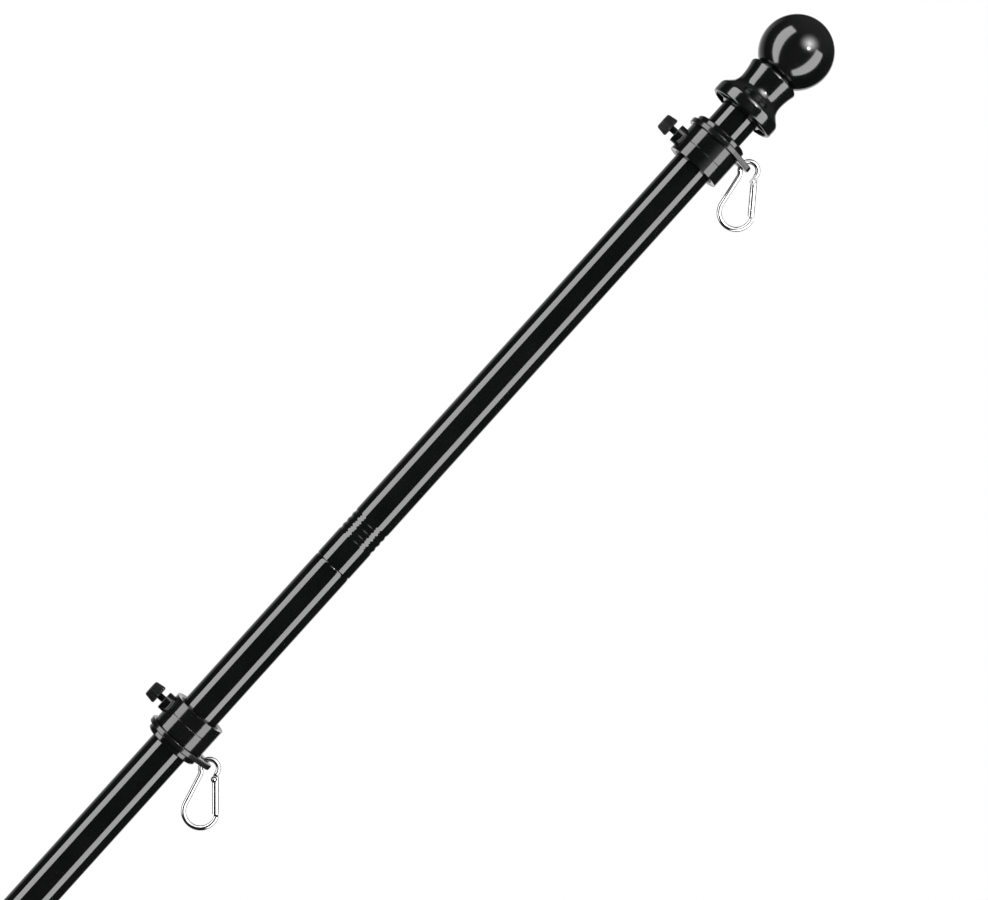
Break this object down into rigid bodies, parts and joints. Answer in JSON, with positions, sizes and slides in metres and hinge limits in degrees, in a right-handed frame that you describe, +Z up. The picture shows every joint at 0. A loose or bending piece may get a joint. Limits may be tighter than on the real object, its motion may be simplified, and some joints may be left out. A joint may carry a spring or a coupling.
{
  "type": "flagpole",
  "caption": "Sectional bracket-held flagpole with a ball finial and two clamped collars, each with a turning ring and a snap hook.",
  "frame": {"origin": "centre of the pole's butt face", "axes": "+Z up, the pole rises towards +X at its bracket angle, the hooks hang along -Z, +Y across the pole"},
  "size_m": [1.081, 0.0468, 1.1932],
  "materials": {
    "tube_black": "gloss black anodised",
    "plug_black": "black moulded",
    "finial_black": "polished black",
    "collar_black": "smooth black",
    "ring_black": "satin black",
    "liner_black": "satin black",
    "insert_steel": "turned",
    "shank_black": "black oxide",
    "knob_black": "fine grain",
    "hook_chrome": "polished"
  },
  "bodies": {
    "root": {"pole_section_1": "tube_black", "pole_section_2": "tube_black", "pole_section_3": "tube_black", "pole_section_4": "tube_black", "joint_plug_1": "plug_black", "joint_plug_2": "plug_black", "joint_plug_3": "plug_black", "butt_plug": "plug_black", "finial_base": "finial_black", "finial_ball": "finial_black"},
    "upper_liner": {"upper_liner": "liner_black"},
    "upper_collar": {"upper_barrel": "collar_black", "upper_flange": "collar_black", "upper_insert": "insert_steel"},
    "upper_ring": {"upper_ring": "ring_black"},
    "upper_hook": {"upper_hook": "hook_chrome", "upper_rivet": "hook_chrome"},
    "upper_gate": {"upper_gate": "hook_chrome"},
    "upper_screw": {"upper_shank": "shank_black"},
    "upper_knob": {"upper_knob": "knob_black"},
    "lower_liner": {"lower_liner": "liner_black"},
    "lower_collar": {"lower_barrel": "collar_black", "lower_flange": "collar_black", "lower_insert": "insert_steel"},
    "lower_ring": {"lower_ring": "ring_black"},
    "lower_hook": {"lower_hook": "hook_chrome", "lower_rivet": "hook_chrome"},
    "lower_gate": {"lower_gate": "hook_chrome"},
    "lower_screw": {"lower_shank": "shank_black"},
    "lower_knob": {"lower_knob": "knob_black"}
  },
  "joints": [
    {"name": "upper_collar_slide", "type": "slide", "parent": "root", "child": "upper_liner", "axis": [0.67, 0, 0.7423], "range_m": [-0.28, 0.0115]},
    {"name": "upper_collar_turn", "type": "hinge", "parent": "upper_liner", "child": "upper_collar", "pos_m": [0.98509, 0, 1.09137], "axis": [0.67, 0, 0.7423], "continuous": true},
    {"name": "upper_ring_spin", "type": "hinge", "parent": "upper_collar", "child": "upper_ring", "pos_m": [0.9995, 0, 1.10733], "axis": [0.67, 0, 0.7423], "range_deg": [-145, 145]},
    {"name": "upper_hook_swing", "type": "hinge", "parent": "upper_ring", "child": "upper_hook", "pos_m": [1.01939, 0, 1.08937], "axis": [0, 1, 0], "range_deg": [-90, 12]},
    {"name": "upper_gate_hinge", "type": "hinge", "parent": "upper_hook", "child": "upper_gate", "pos_m": [1.0218, 0, 1.08244], "axis": [0, 1, 0], "range_deg": [0, 25], "stiffness_Nm_per_rad": 0.05, "springref_deg": -5.73},
    {"name": "upper_screw_travel", "type": "slide", "parent": "upper_collar", "child": "upper_screw", "axis": [-0.7423, 0, 0.67], "range_m": [0, 0.0022]},
    {"name": "upper_knob_turn", "type": "hinge", "parent": "upper_screw", "child": "upper_knob", "pos_m": [0.97219, 0, 1.11514], "axis": [-0.7423, 0, 0.67], "range_deg": [0, 991]},
    {"name": "lower_collar_slide", "type": "slide", "parent": "root", "child": "lower_liner", "axis": [0.67, 0, 0.7423], "range_m": [-0.19, 0.11]},
    {"name": "lower_collar_turn", "type": "hinge", "parent": "lower_liner", "child": "lower_collar", "pos_m": [0.68458, 0, 0.75843], "axis": [0.67, 0, 0.7423], "continuous": true},
    {"name": "lower_ring_spin", "type": "hinge", "parent": "lower_collar", "child": "lower_ring", "pos_m": [0.67017, 0, 0.74247], "axis": [0.67, 0, 0.7423], "range_deg": [-145, 145]},
    {"name": "lower_hook_swing", "type": "hinge", "parent": "lower_ring", "child": "lower_hook", "pos_m": [0.69007, 0, 0.72452], "axis": [0, 1, 0], "range_deg": [-90, 12]},
    {"name": "lower_gate_hinge", "type": "hinge", "parent": "lower_hook", "child": "lower_gate", "pos_m": [0.69307, 0, 0.71782], "axis": [0, 1, 0], "range_deg": [0, 25], "stiffness_Nm_per_rad": 0.05, "springref_deg": -5.73},
    {"name": "lower_screw_travel", "type": "slide", "parent": "lower_collar", "child": "lower_screw", "axis": [-0.7423, 0, 0.67], "range_m": [0, 0.0022]},
    {"name": "lower_knob_turn", "type": "hinge", "parent": "lower_screw", "child": "lower_knob", "pos_m": [0.65962, 0, 0.76884], "axis": [-0.7423, 0, 0.67], "range_deg": [0, 991]}
  ],
  "couplings": [
    {"joint": "upper_knob_turn", "follows": "upper_screw_travel", "rad_per_m": 7854},
    {"joint": "lower_knob_turn", "follows": "lower_screw_travel", "rad_per_m": 7854}
  ]
}
